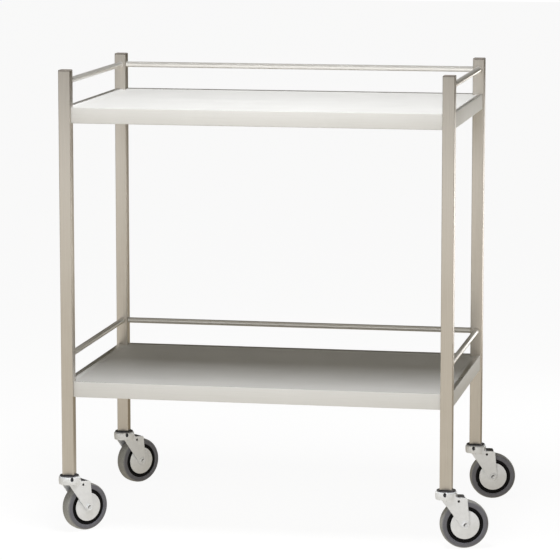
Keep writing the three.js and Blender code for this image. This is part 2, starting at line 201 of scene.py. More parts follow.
class Workpiece:
    """One mesh on the bench, shaped with Blender's own operators."""

    def __init__(self, name: str) -> None:
        """Takes the object that was just added.

        Args:
            name: What the piece is called from here on.
        """
        self.obj = bpy.context.object
        self.obj.name = self.obj.data.name = name
        bpy.ops.object.transform_apply(location=True, rotation=True, scale=True)

    @classmethod
    def block(cls, name: str, low: Vector, high: Vector) -> "Workpiece":
        """Adds a box.

        Args:
            name: The piece's name.
            low: Its lowest corner.
            high: Its highest corner.

        Returns:
            The box.
        """
        clear_bench()
        bpy.ops.mesh.primitive_cube_add(size=1, location=(low + high) / 2, scale=high - low)
        return cls(name)

    @classmethod
    def tube(cls, name: str, radius: float, length: float, sides: int) -> "Workpiece":
        """Adds an open round wall about the Z axis, centred on the origin.

        Args:
            name: The piece's name.
            radius: Its outer radius.
            length: Its length.
            sides: How many flats go round it.

        Returns:
            The wall, without a thickness.
        """
        clear_bench()
        bpy.ops.mesh.primitive_cylinder_add(
            vertices=sides, radius=radius, depth=length, end_fill_type="NOTHING"
        )
        return cls(name)

    @classmethod
    def bar(cls, name: str, radius: float, start: Vector, end: Vector, sides: int) -> "Workpiece":
        """Adds a closed round bar.

        Args:
            name: The piece's name.
            radius: Its radius.
            start: The middle of one end.
            end: The middle of the other end.
            sides: How many flats go round it.

        Returns:
            The bar.
        """
        clear_bench()
        along = end - start
        turn = along.to_track_quat("Z", "Y").to_euler()
        bpy.ops.mesh.primitive_cylinder_add(
            vertices=sides, radius=radius, depth=along.length, location=(start + end) / 2, rotation=turn
        )
        return cls(name)

    @classmethod
    def drawn(cls, name: str, points: Sequence[Vector]) -> "Workpiece":
        """Draws a chain of edges.

        Args:
            name: The piece's name.
            points: Where the chain passes, in order.

        Returns:
            The piece, with one vertex at each point.
        """
        clear_bench()
        bpy.ops.mesh.primitive_plane_add(size=MM, location=(0, 0, 0))
        piece = cls(name)
        with piece.editing():
            bpy.ops.mesh.select_all(action="SELECT")
            bpy.ops.mesh.merge(type="CENTER")
            bpy.ops.transform.translate(value=points[0])
            for here, there in zip(points, points[1:]):
                bpy.ops.mesh.extrude_region_move(TRANSFORM_OT_translate={"value": there - here})
        return piece

    @classmethod
    def turned(cls, name: str, profile: Sequence[Point], steps: int) -> "Workpiece":
        """Turns a profile about the Z axis.

        Args:
            name: The piece's name.
            profile: Points of radius and height, closed or ending on the axis.
            steps: How many flats go round the piece.

        Returns:
            The closed piece.
        """
        piece = cls.drawn(name, [Vector((radius, 0, height)) for radius, height in profile])
        with piece.editing():
            bpy.ops.mesh.select_all(action="SELECT")
            bpy.ops.mesh.spin(steps=steps, angle=FULL_TURN, center=(0, 0, 0), axis=(0, 0, 1))
            bpy.ops.mesh.select_all(action="SELECT")
            bpy.ops.mesh.remove_doubles(threshold=SAME)
            bpy.ops.mesh.normals_make_consistent(inside=False)
        return piece

    @classmethod
    def plate(cls, name: str, outline: Sequence[Point], thickness: float, y: float) -> "Workpiece":
        """Cuts a plate that stands in the XZ plane.

        Args:
            name: The piece's name.
            outline: Its closed outline, as x and z.
            thickness: Its thickness along Y.
            y: Where its middle stands.

        Returns:
            The closed plate.
        """
        piece = cls.drawn(name, [Vector((x, y, z)) for x, z in outline])
        with piece.editing():
            bpy.ops.mesh.select_all(action="SELECT")
            bpy.ops.mesh.remove_doubles(threshold=SAME)
            bpy.ops.mesh.edge_face_add()
        piece.thicken(thickness, offset=0)
        return piece

    def take_up(self) -> None:
        """Selects this piece alone and makes it the active one."""
        clear_bench()
        self.obj.select_set(True)
        bpy.context.view_layer.objects.active = self.obj

    @contextmanager
    def editing(self) -> Iterator[None]:
        """Puts this piece alone in edit mode.

        Returns:
            The context in which the piece is edited.
        """
        self.take_up()
        bpy.ops.object.mode_set(mode="EDIT")
        try:
            yield
        finally:
            bpy.ops.object.mode_set(mode="OBJECT")

    def pick(self, element: Element, test: Callable[..., bool]) -> int:
        """Selects, in edit mode, the elements that pass a test.

        Args:
            element: Which kind of element is picked.
            test: Says of one element whether it is picked.

        Returns:
            How many were picked.
        """
        bpy.ops.mesh.select_mode(type=element.value)
        bpy.ops.mesh.select_all(action="DESELECT")
        mesh = bmesh.from_edit_mesh(self.obj.data)
        kinds = {Element.VERTEX: mesh.verts, Element.EDGE: mesh.edges, Element.FACE: mesh.faces}
        picked = [item for item in kinds[element] if test(item)]
        for item in picked:
            item.select_set(True)
        mesh.select_flush_mode()
        bmesh.update_edit_mesh(self.obj.data)
        return len(picked)

    def bevel(self, width: float, segments: int) -> None:
        """Rounds the edges that are selected in edit mode."""
        bpy.ops.mesh.bevel(offset=width, segments=segments, profile=0.5, affect="EDGES", clamp_overlap=True)

    def apply_modifier(self, kind: str, **settings: object) -> None:
        """Adds a modifier and applies it.

        Args:
            kind: Blender's name for the modifier's type.
            **settings: Its properties.
        """
        self.take_up()
        modifier = self.obj.modifiers.new(kind.title(), kind)
        for key, value in settings.items():
            setattr(modifier, key, value)
        bpy.ops.object.modifier_apply(modifier=modifier.name)

    def thicken(self, thickness: float, offset: float = -1) -> None:
        """Gives a sheet its thickness, inwards unless the offset says otherwise."""
        self.apply_modifier("SOLIDIFY", thickness=thickness, offset=offset)

    def ease(self, width: float, segments: int = 2, angle: float = 50) -> None:
        """Takes the sharpness off every edge that turns more than the angle, in degrees."""
        self.apply_modifier(
            "BEVEL", width=width, segments=segments, limit_method="ANGLE", angle_limit=math.radians(angle)
        )

    def combine(self, other: "Workpiece", operation: str) -> None:
        """Joins or cuts this piece with another, which is used up."""
        self.apply_modifier("BOOLEAN", object=other.obj, operation=operation, solver="EXACT")
        bpy.data.objects.remove(other.obj)

    def join(self, other: "Workpiece") -> None:
        """Takes another piece's mesh into this one, to be made one solid by a later step.

        Args:
            other: The other piece, which is used up.
        """
        self.take_up()
        other.obj.select_set(True)
        bpy.ops.object.join()

    def place(self, matrix: Matrix) -> None:
        """Moves the piece, with its place kept in its mesh.

        Args:
            matrix: The move, from where it was drawn.
        """
        self.take_up()
        self.obj.matrix_world = matrix
        bpy.ops.object.transform_apply(location=True, rotation=True, scale=True)

    def copy(self, name: str) -> "Workpiece":
        """Copies the piece, with a mesh of its own.

        Args:
            name: The copy's name.

        Returns:
            The copy.
        """
        self.take_up()
        bpy.ops.object.duplicate(linked=False)
        return Workpiece(name)

    def smooth(self) -> None:
        """Shades round surfaces smooth and keeps corners crisp."""
        self.take_up()
        bpy.ops.object.shade_smooth_by_angle(angle=SMOOTH_BELOW)

    def dress(self, material: bpy.types.Material) -> None:
        """Gives the whole piece one finish."""
        self.obj.data.materials.clear()
        self.obj.data.materials.append(material)

    def fit(self, body: str, slot: str, *nodes: str) -> None:
        """Fits the piece to the frame.

        Args:
            body: The body it rides on.
            slot: The record's material slot; not used.
            *nodes: The solids it stands for.
        """
        if nodes:
            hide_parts(*nodes)
        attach(self.obj, body)
        LOG.info("%s rides on %s, %d faces", self.obj.name, body, len(self.obj.data.polygons))

    def discard(self) -> None:
        """Takes the piece off the bench for good."""
        bpy.data.objects.remove(self.obj)


# ---- Finishes ----


class Recipe:
    """The node tree of one finish."""

    def __init__(self, name: str) -> None:
        """Starts a material with its Principled shader.

        Args:
            name: The material's name.
        """
        self.material = bpy.data.materials.new(name)
        self.material.use_nodes = True
        self.nodes = self.material.node_tree.nodes
        self.links = self.material.node_tree.links
        self.shader = self.nodes["Principled BSDF"]
        self.coordinates = self.nodes.new("ShaderNodeTexCoord").outputs["Object"]

    def noise(
        self, stretch: Sequence[float], scale: float, detail: float, distortion: float = 0
    ) -> bpy.types.NodeSocket:
        """A noise pattern on object coordinates.

        Args:
            stretch: How much denser the pattern is along X, Y and Z.
            scale: Its size, in features a metre where the stretch is 1.
            detail: How many finer layers it has.
            distortion: How far it is warped.

        Returns:
            Its value, about 0.5 on average.
        """
        mapping = self.nodes.new("ShaderNodeMapping")
        mapping.inputs["Scale"].default_value = stretch
        self.links.new(self.coordinates, mapping.inputs["Vector"])
        pattern = self.nodes.new("ShaderNodeTexNoise")
        pattern.inputs["Scale"].default_value = scale
        pattern.inputs["Detail"].default_value = detail
        pattern.inputs["Roughness"].default_value = LAYER_STRENGTH
        pattern.inputs["Distortion"].default_value = distortion
        self.links.new(mapping.outputs["Vector"], pattern.inputs["Vector"])
        return pattern.outputs["Fac"]

    def spread(
        self, value: bpy.types.NodeSocket, low: float, high: float, ends: Point = (0.3, 0.7)
    ) -> bpy.types.NodeSocket:
        """Maps a pattern's middle range onto a range of numbers.

        Args:
            value: The pattern.
            low: What the lower end becomes.
            high: What the upper end becomes.
            ends: The pattern's values at those ends.

        Returns:
            The new value.
        """
        node = self.nodes.new("ShaderNodeMapRange")
        node.inputs["From Min"].default_value, node.inputs["From Max"].default_value = ends
        node.inputs["To Min"].default_value, node.inputs["To Max"].default_value = low, high
        self.links.new(value, node.inputs["Value"])
        return node.outputs["Result"]

    def blend(self, factor: bpy.types.NodeSocket, first: Shade, second: Shade) -> bpy.types.NodeSocket:
        """Mixes two colours.

        Args:
            factor: How much of the second there is.
            first: A colour, or another node's output.
            second: Another one.

        Returns:
            The mixed colour.
        """
        node = self.nodes.new("ShaderNodeMix")
        node.data_type = "RGBA"
        self.links.new(factor, node.inputs["Factor"])
        for name, colour in (("A", first), ("B", second)):
            socket = next(s for s in node.inputs if s.name == name and s.type == "RGBA")
            if isinstance(colour, bpy.types.NodeSocket):
                self.links.new(colour, socket)
            else:
                socket.default_value = (*colour, 1)
        return next(s for s in node.outputs if s.type == "RGBA")

    def sum(self, first: bpy.types.NodeSocket, second: bpy.types.NodeSocket) -> bpy.types.NodeSocket:
        """Adds two values.

        Args:
            first: One value.
            second: The other.

        Returns:
            Their sum.
        """
        node = self.nodes.new("ShaderNodeMath")
        node.operation = "ADD"
        self.links.new(first, node.inputs[0])
        self.links.new(second, node.inputs[1])
        return node.outputs[0]

    def attribute(self, name: str) -> bpy.types.NodeSocket:
        """Reads a value that the piece's mesh holds.

        Args:
            name: The attribute's name.

        Returns:
            Its value.
        """
        node = self.nodes.new("ShaderNodeAttribute")
        node.attribute_name = name
        return node.outputs["Fac"]

    def finish(
        self,
        colour: bpy.types.NodeSocket,
        roughness: bpy.types.NodeSocket,
        height: bpy.types.NodeSocket,
        relief: float,
        metallic: float,
    ) -> bpy.types.Material:
        """Wires the patterns to the shader.

        Args:
            colour: The base colour.
            roughness: The roughness.
            height: The pattern that raises the surface.
            relief: How high it raises it, in metres.
            metallic: How metallic the surface is.

        Returns:
            The material.
        """
        bump = self.nodes.new("ShaderNodeBump")
        bump.inputs["Distance"].default_value = relief
        bump.inputs["Strength"].default_value = 1
        self.links.new(height, bump.inputs["Height"])
        self.links.new(bump.outputs["Normal"], self.shader.inputs["Normal"])
        self.links.new(colour, self.shader.inputs["Base Color"])
        self.links.new(roughness, self.shader.inputs["Roughness"])
        self.shader.inputs["Metallic"].default_value = metallic
        return self.material


@dataclass(frozen=True)
class BrushedSteel:
    """Stainless steel polished with a belt."""

    name: str
    grain: Grain
    light: Colour
    dark: Colour
    roughness: Point
    metallic: float = 1.0
    relief: float = 0.01 * MM
    scratch_stretch: float = 2.5
    scratch_ends: Point = (0.66, 0.72)
    worn_gain: float = 1.06

    def make(self) -> bpy.types.Material:
        """Belt lines, a soft haze of handling and a few deeper scratches.

        Returns:
            The material.
        """
        recipe = Recipe(self.name)
        lines = recipe.noise(self.grain.value, scale=14, detail=4)
        haze = recipe.noise(EVEN, scale=9, detail=3, distortion=0.6)
        finer = [stretch * self.scratch_stretch for stretch in self.grain.value]
        hair = recipe.noise(finer, scale=18, detail=2, distortion=0.15)
        scratches = recipe.spread(hair, low=0, high=1, ends=self.scratch_ends)
        tone = recipe.blend(recipe.spread(lines, low=0, high=1), self.dark, self.light)
        worn = tuple(min(1.0, channel * self.worn_gain) for channel in self.light)
        colour = recipe.blend(recipe.spread(haze, low=0.0, high=0.45), tone, worn)
        colour = recipe.blend(recipe.spread(scratches, low=0, high=0.25, ends=(0, 1)), colour, worn)
        low, high = self.roughness
        rough = recipe.sum(recipe.spread(lines, low, high), recipe.spread(haze, low=-0.03, high=0.03))
        return recipe.finish(colour, rough, lines, self.relief, self.metallic)


@dataclass(frozen=True)
class ZincPlate:
    """Bright zinc plating on pressed steel, with faint clouds, press marks and painted shade where the mesh
    marks it.
    """

    name: str
    light: Colour
    dark: Colour
    roughness: Point
    metallic: float
    relief: float = 0.02 * MM
    # painted shade: the colour and the mesh attribute that darken shaded hollows and inner faces
    painted_shade: Colour = (0.10, 0.10, 0.115)
    shade_attribute: str = "painted_shade"

    def make(self) -> bpy.types.Material:
        """Cloudy plating over a fine-grained sheet, darkened with painted shade where the mesh marks it.

        Returns:
            The material.
        """
        recipe = Recipe(self.name)
        clouds = recipe.noise(EVEN, scale=90, detail=4, distortion=0.4)
        grit = recipe.noise(EVEN, scale=900, detail=2)
        tone = recipe.blend(recipe.spread(clouds, low=0, high=1), self.dark, self.light)
        colour = recipe.blend(recipe.spread(grit, low=0, high=0.12), tone, self.dark)
        # painted shade where the mesh's attribute marks it
        colour = recipe.blend(recipe.attribute(self.shade_attribute), colour, self.painted_shade)
        low, high = self.roughness
        rough = recipe.sum(recipe.spread(clouds, low, high), recipe.spread(grit, low=-0.04, high=0.04))
        return recipe.finish(colour, rough, grit, self.relief, self.metallic)


@dataclass(frozen=True)
class Moulded:
    """Moulded plastic with the fine texture of its tool."""

    name: str
    light: Colour
    dark: Colour
    roughness: Point
    relief: float = 0.02 * MM
    gloss: float = 0.5

    def make(self) -> bpy.types.Material:
        """A fine spark-eroded texture with slow changes of shade.

        Returns:
            The material.
        """
        recipe = Recipe(self.name)
        recipe.shader.inputs["Specular IOR Level"].default_value = self.gloss
        shade = recipe.noise(EVEN, scale=60, detail=3)
        texture = recipe.noise(EVEN, scale=1400, detail=3)
        colour = recipe.blend(recipe.spread(shade, low=0, high=1), self.dark, self.light)
        rough = recipe.spread(texture, *self.roughness)
        return recipe.finish(colour, rough, texture, self.relief, metallic=0.0)


@dataclass(frozen=True)
class TyreRubber:
    """Grey non-marking rubber, dusty and scuffed where it rolls."""

    name: str
    side: Colour
    side_dark: Colour
    tread: Colour
    relief: float = 0.05 * MM
    wear_attribute: str = "wear"

    def make(self) -> bpy.types.Material:
        """Smooth moulded sides and a paler, rougher tread.

        Returns:
            The material.
        """
        recipe = Recipe(self.name)
        mottle = recipe.noise(EVEN, scale=120, detail=4)
        pits = recipe.noise(EVEN, scale=1500, detail=3)
        scuffs = recipe.noise(EVEN, scale=420, detail=4, distortion=0.5)
        side = recipe.blend(recipe.spread(mottle, low=0, high=1), self.side_dark, self.side)
        worn = recipe.nodes.new("ShaderNodeMath")
        worn.operation = "MULTIPLY"
        recipe.links.new(recipe.attribute(self.wear_attribute), worn.inputs[0])
        recipe.links.new(recipe.spread(scuffs, low=0.45, high=1), worn.inputs[1])
        colour = recipe.blend(worn.outputs[0], side, self.tread)
        rougher = recipe.spread(worn.outputs[0], low=0, high=0.25, ends=(0, 1))
        rough = recipe.sum(recipe.spread(pits, low=0.42, high=0.56), rougher)
        return recipe.finish(colour, rough, recipe.sum(pits, scuffs), self.relief, metallic=0.0)


@dataclass(frozen=True)
class Finishes:
    """Every finish on the cart."""

    post: BrushedSteel = BrushedSteel(
        "post_steel", Grain.ALONG_Z, (0.75, 0.71, 0.655), (0.66, 0.62, 0.565), (0.34, 0.44)
    )
    shelf: BrushedSteel = BrushedSteel(
        "shelf_steel", Grain.ALONG_X, (0.83, 0.83, 0.82), (0.78, 0.78, 0.765), (0.52, 0.62), metallic=0.35
    )
    # band along the shelf's folds: smoother and more metallic, with a darker colour that is painted shade of
    # the sloped border
    fold: BrushedSteel = BrushedSteel(
        "fold_steel_shaded", Grain.ALONG_X, (0.80, 0.79, 0.76), (0.72, 0.70, 0.67), (0.26, 0.34), metallic=0.8
    )
    rail_x: BrushedSteel = BrushedSteel(
        "rail_steel_long",
        Grain.ALONG_X,
        (0.88, 0.865, 0.83),
        (0.83, 0.81, 0.77),
        (0.32, 0.38),
        metallic=0.75,
        relief=0.001 * MM,
    )
    rail_y: BrushedSteel = BrushedSteel(
        "rail_steel_side",
        Grain.ALONG_Y,
        (0.88, 0.865, 0.83),
        (0.83, 0.81, 0.77),
        (0.32, 0.38),
        metallic=0.75,
        relief=0.001 * MM,
    )
    zinc: ZincPlate = ZincPlate("zinc_plate", (0.95, 0.97, 1.0), (0.87, 0.89, 0.92), (0.34, 0.46), 0.25)
    bearing: ZincPlate = ZincPlate("bearing_steel", (0.14, 0.14, 0.15), (0.09, 0.09, 0.10), (0.3, 0.45), 1.0)
    # dark colour of the stem and its race plate: painted shade and reflection under the post
    shaded_race: ZincPlate = ZincPlate("race_painted_shade", (0.20, 0.20, 0.22), (0.13, 0.13, 0.15), (0.3, 0.45), 0.8)
    cap: Moulded = Moulded("cap_plastic", (0.20, 0.18, 0.16), (0.15, 0.135, 0.12), (0.42, 0.55))
    plug: Moulded = Moulded("plug_plastic", (0.05, 0.05, 0.05), (0.03, 0.03, 0.03), (0.45, 0.6))
    rim: Moulded = Moulded(
        "rim_plastic", (0.006, 0.006, 0.007), (0.003, 0.003, 0.0035), (0.4, 0.55), gloss=0.12
    )
    bush: Moulded = Moulded("bush_plastic", (0.80, 0.79, 0.74), (0.74, 0.72, 0.66), (0.3, 0.42))
    tyre: TyreRubber = TyreRubber(
        "tyre_rubber", (0.165, 0.166, 0.19), (0.142, 0.143, 0.165), (0.44, 0.44, 0.41)
    )


# ---- The frame ----


@dataclass
class Posts:
    """Four square tubes, welded to both shelves."""

    corner_radius: float = 2.2 * MM
    wall: float = 1.5 * MM
    end_ease: float = 0.25 * MM

    def build(self, steel: BrushedSteel) -> None:
        """Draws one tube at the front left and copies it to the others.

        Args:
            steel: The finish.
        """
        first = Corner.FRONT_LEFT.value
        low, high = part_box(f"post_{first}")
        tube = Workpiece.block("post", low, high)
        with tube.editing():
            tube.pick(Element.EDGE, is_upright)
            tube.bevel(self.corner_radius, segments=6)
            tube.pick(Element.FACE, lambda face: abs(face.normal.z) > FACING)
            bpy.ops.mesh.delete(type="FACE")
        tube.thicken(self.wall)
        tube.ease(self.end_ease, angle=70)
        tube.smooth()
        tube.dress(steel.make())
        for corner in Corner:
            node = f"post_{corner.value}"
            post = tube.copy(f"square_post_{corner.value}")
            post.place(Matrix.Translation(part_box(node)[0] - low))
            post.fit("frame", "brushed_stainless", node)
        tube.discard()


@dataclass
class Caps:
    """Moulded plugs in the tops of the posts."""

    head: float = 2.2 * MM
    corner_radius: float = 2.4 * MM
    crown_inset: float = 1.4 * MM
    plug_side: float = 21.4 * MM
    plug_wall: float = 2.0 * MM
    plug_floor: float = 1.0 * MM
    crown_drop: float = 0.45  # how far the rim lies below the crown, as a share of the head
    least_crown: float = 100 * MM * MM
    crown_facing: float = 0.99
    edge_ease: float = 0.3 * MM

    def build(self, plastic: Moulded) -> None:
        """Draws one cap and copies it to the four posts.

        Args:
            plastic: The finish.
        """
        low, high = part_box(f"post_cap_{Corner.FRONT_LEFT.value}")
        head_low = Vector((low.x, low.y, high.z - self.head))
        cap = Workpiece.block("cap", head_low, high)
        with cap.editing():
            cap.pick(Element.EDGE, is_upright)
            cap.bevel(self.corner_radius, segments=5)
            cap.pick(Element.FACE, lambda face: face.normal.z > FACING)
            bpy.ops.mesh.inset(thickness=self.crown_inset, depth=0)
            cap.pick(Element.EDGE, lambda edge: self.on_rim(edge, high))
            bpy.ops.transform.translate(value=(0, 0, -self.head * self.crown_drop))
            cap.pick(Element.FACE, self.is_crown)
            bpy.ops.mesh.inset(thickness=self.crown_inset, depth=0)
            cap.pick(Element.FACE, lambda face: face.normal.z < -FACING)
            bpy.ops.mesh.inset(thickness=(high.x - low.x - self.plug_side) / 2, depth=0)
            depth = head_low.z - low.z
            bpy.ops.mesh.extrude_region_move(TRANSFORM_OT_translate={"value": (0, 0, -depth)})
            bpy.ops.mesh.inset(thickness=self.plug_wall, depth=0)
            hollow = depth - self.plug_floor
            bpy.ops.mesh.extrude_region_move(TRANSFORM_OT_translate={"value": (0, 0, hollow)})
        cap.ease(self.edge_ease, segments=2, angle=25)
        cap.smooth()
        cap.dress(plastic.make())
        for corner in Corner:
            node = f"post_cap_{corner.value}"
            copy = cap.copy(f"end_cap_{corner.value}")
            copy.place(Matrix.Translation(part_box(node)[0] - low))
            copy.fit("frame", "cap_plastic", node)
        cap.discard()

    def is_crown(self, face: bmesh.types.BMFace) -> bool:
        """Whether a face is the flat middle of the cap's top."""
        return face.normal.z > self.crown_facing and face.calc_area() > self.least_crown

    @staticmethod
    def on_rim(edge: bmesh.types.BMEdge, high: Vector) -> bool:
        """Whether an edge is the outer rim of the cap's top."""
        flat = all(abs(vertex.co.z - high.z) < SAME for vertex in edge.verts)
        return flat and any(abs(face.normal.z) < 1 - FACING for face in edge.link_faces)


@dataclass
class Shelf:
    """One folded sheet: a sunk middle, a raised border and aprons on four sides."""

    level: Level
    sheet: float = 1.5 * MM
    fold: float = 2.4 * MM
    lip: float = 8 * MM
    border: float = 20 * MM
    rise: float = 3 * MM
    apron_return: float = 14 * MM
    bend_radius: float = 1.6 * MM
    border_bend: float = 0.72 * MM
    band_from: float = 0.96 * MM
    edge_ease: float = 0.25 * MM
    sliver: float = 0.06 * MM

    @property
    def node(self) -> str:
        """The shelf's solid in the frame."""
        return f"{self.level.value}_shelf"

    def build(self, steel: bpy.types.Material, polished: bpy.types.Material) -> None:
        """Folds the sheet from a block and cuts its corners out for the posts.

        Args:
            steel: The finish.
            polished: The finish of the band along the folds: a brighter polish, with a darker colour that is
                painted shade.
        """
        low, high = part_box(self.node)
        sheet = Workpiece.block(f"folded_{self.node}", low, high)
        with sheet.editing():
            sheet.pick(Element.FACE, lambda face: face.normal.z > FACING)
            bpy.ops.mesh.inset(thickness=self.fold, depth=0)
            run = self.border - self.fold
            drop = self.lip * (self.rise / run)
            bpy.ops.mesh.inset(thickness=self.lip, depth=-drop)
            bpy.ops.mesh.inset(thickness=run - self.lip, depth=drop - self.rise)
            sheet.pick(Element.FACE, lambda face: face.normal.z < -FACING)
            bpy.ops.mesh.inset(thickness=self.apron_return, depth=0)
            bpy.ops.mesh.delete(type="FACE")
            self.round_folds(sheet, low, high)
            self.cut_corners(sheet)
        sheet.thicken(self.sheet)
        sheet.ease(self.edge_ease, segments=2, angle=70)
        sheet.smooth()
        sheet.dress(steel)
        self.polish_and_shade_band(sheet, polished, low, high)
        sheet.fit("frame", "shelf_stainless", self.node)

    def polish_and_shade_band(self, sheet: Workpiece, polished: bpy.types.Material, low: Vector, high: Vector) -> None:
        """Gives the band along the folds its brighter polish, and a darker colour that is painted shade.

        Args:
            sheet: The shelf.
            polished: The finish.
            low: The lowest corner of the shelf.
            high: Its highest corner.
        """
        sheet.obj.data.materials.append(polished)
        for face in sheet.obj.data.polygons:
            on_top = face.normal.z > FACING and face.center.z > high.z - self.rise
            if on_top and self.band_from < inset_of(face.center, low, high) < self.fold + self.lip:
                face.material_index = 1

    def round_folds(self, sheet: Workpiece, low: Vector, high: Vector) -> None:
        """Gives every fold its bend radius.

        Args:
            sheet: The shelf, in edit mode.
            low: The lowest corner of the shelf.
            high: Its highest corner.
        """
        sheet.pick(Element.EDGE, lambda edge: is_level(edge) and inset_of(middle(edge), low, high) < SAME)
        sheet.bevel(self.bend_radius, segments=5)
        sheet.pick(Element.EDGE, lambda edge: self.is_inner_fold(edge, low, high))
        sheet.bevel(self.border_bend, segments=3)

    def is_inner_fold(self, edge: bmesh.types.BMEdge, low: Vector, high: Vector) -> bool:
        """Whether an edge is a fold of the border, in from the shelf's sides."""
        here = middle(edge)
        return is_level(edge) and here.z > low.z + MM and inset_of(here, low, high) > self.fold / 2

    def cut_corners(self, sheet: Workpiece) -> None:
        """Cuts the sheet along the posts' inner faces and drops its corners.

        Args:
            sheet: The shelf, in edit mode.
        """
        front_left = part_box("post_front_left")[1]
        back_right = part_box("post_back_right")[0]
        cuts = (
            (front_left.x + GAP, (1, 0, 0)),
            (back_right.x - GAP, (1, 0, 0)),
            (front_left.y + GAP, (0, 1, 0)),
            (back_right.y - GAP, (0, 1, 0)),
        )
        for place, normal in cuts:
            bpy.ops.mesh.select_all(action="SELECT")
            bpy.ops.mesh.bisect(plane_co=Vector(normal) * place, plane_no=normal)
        (left, _), (right, _), (front, _), (back, _) = cuts

        def in_corner(face: bmesh.types.BMFace) -> bool:
            """Whether a face lies where a post stands."""
            here = face.calc_center_median()
            return not left < here.x < right and not front < here.y < back

        sheet.pick(Element.FACE, in_corner)
        bpy.ops.mesh.delete(type="FACE")
        bpy.ops.mesh.select_all(action="SELECT")
        bpy.ops.mesh.remove_doubles(threshold=self.sliver)


@dataclass
class Stiffener:
    """A folded channel across the underside of a shelf."""

    level: Level
    sheet: float = 1.5 * MM
    bend_radius: float = 2.2 * MM
    edge_ease: float = 0.2 * MM

    def build(self, steel: bpy.types.Material) -> None:
        """Folds the channel up from its web.

        Args:
            steel: The finish.
        """
        node = f"{self.level.value}_shelf_stiffener"
        low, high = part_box(node)
        channel = Workpiece.block(f"channel_{self.level.value}", low, high)
        with channel.editing():
            channel.pick(Element.FACE, self.is_open_side)
            bpy.ops.mesh.delete(type="FACE")
            channel.pick(Element.EDGE, lambda edge: self.is_fold(edge, low))
            channel.bevel(self.bend_radius, segments=5)
        channel.thicken(self.sheet)
        channel.ease(self.edge_ease, angle=70)
        channel.smooth()
        channel.dress(steel)
        channel.fit("frame", "shelf_stainless", node)

    @staticmethod
    def is_open_side(face: bmesh.types.BMFace) -> bool:
        """Whether a face of the block is the channel's open top or one of its open ends."""
        return face.normal.z > FACING or abs(face.normal.y) > FACING

    @staticmethod
    def is_fold(edge: bmesh.types.BMEdge, low: Vector) -> bool:
        """Whether an edge is one of the two long folds along the web."""
        along = abs(edge.verts[0].co.y - edge.verts[1].co.y) > MM
        return along and middle(edge).z < low.z + SAME


@dataclass
class GuardRail:
    """A round rail between two posts, with a weld fillet at each end."""

    level: Level
    side: Side
    wall: float = 1.2 * MM
    sides: int = 40
    weld_reach: float = 2.4 * MM
    weld_steps: tuple[Point, ...] = ((1.0, 1.0), (0.5, 1.05), (0.0, 1.2))  # share of the reach, growth
    near: float = 0.01 * MM

    def build(self, steel: bpy.types.Material) -> None:
        """Draws the tube about Z, flares its ends into the welds and lays it down.

        Args:
            steel: The finish.
        """
        node = f"{self.level.value}_rail_{self.side.value}"
        low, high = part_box(node)
        size = high - low
        length = max(size)
        radius = size.z / 2
        rail = Workpiece.tube(f"guard_{node}", radius, length, self.sides)
        with rail.editing():
            for end in (-1, 1):
                for share, _ in self.weld_steps[:-1]:
                    bpy.ops.mesh.select_all(action="SELECT")
                    place = end * (length / 2 - self.weld_reach * share)
                    bpy.ops.mesh.bisect(plane_co=(0, 0, place), plane_no=(0, 0, 1))
            for share, growth in self.weld_steps:
                place = length / 2 - self.weld_reach * share
                rail.pick(Element.VERTEX, lambda vertex: abs(abs(vertex.co.z) - place) < self.near)
                bpy.ops.transform.resize(value=(growth, growth, 1), center_override=(0, 0, 0))
        rail.thicken(self.wall)
        rail.smooth()
        turn = Euler((0, math.pi / 2, 0)) if self.side is Side.BACK else Euler((math.pi / 2, 0, 0))
        rail.place(Matrix.Translation((low + high) / 2) @ turn.to_matrix().to_4x4())
        rail.dress(steel)
        rail.fit("frame", "polished_rail", node)


# ---- The castors ----


@dataclass
class Master:
    """One finished piece of a castor, ready to be copied to the corners."""

    piece: Workpiece
    making: str
    body: str
    slot: str


